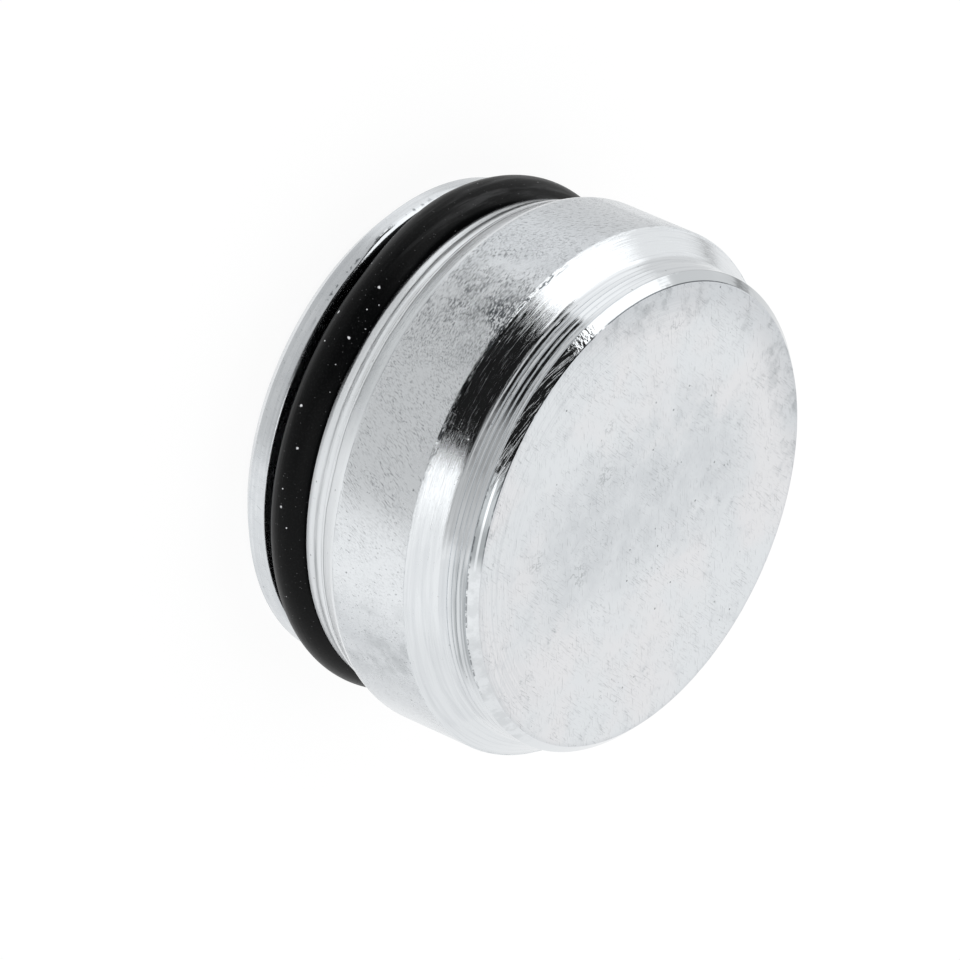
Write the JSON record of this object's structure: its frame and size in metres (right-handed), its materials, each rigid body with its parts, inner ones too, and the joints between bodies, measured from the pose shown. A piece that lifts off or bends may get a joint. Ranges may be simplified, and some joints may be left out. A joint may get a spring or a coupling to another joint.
{
  "type": "blanking disc",
  "caption": "Short turned steel plug with a rubber ring in its groove and a sloped nut shoulder, which closes a coned tube fitting.",
  "frame": {"origin": "middle of the flat face at the sealing end, on which the part stands", "axes": "+Z along the turned axis, from the sealing end to the outer face"},
  "size_m": [0.0242, 0.0242, 0.0133],
  "materials": {
    "zinc_plated_steel": "turned, bright zinc plated, with fine scratches",
    "seal_rubber": "smooth moulded, faint sheen"
  },
  "bodies": {
    "root": {"plug_body": "zinc_plated_steel", "o_ring": "seal_rubber"}
  },
  "joints": []
}
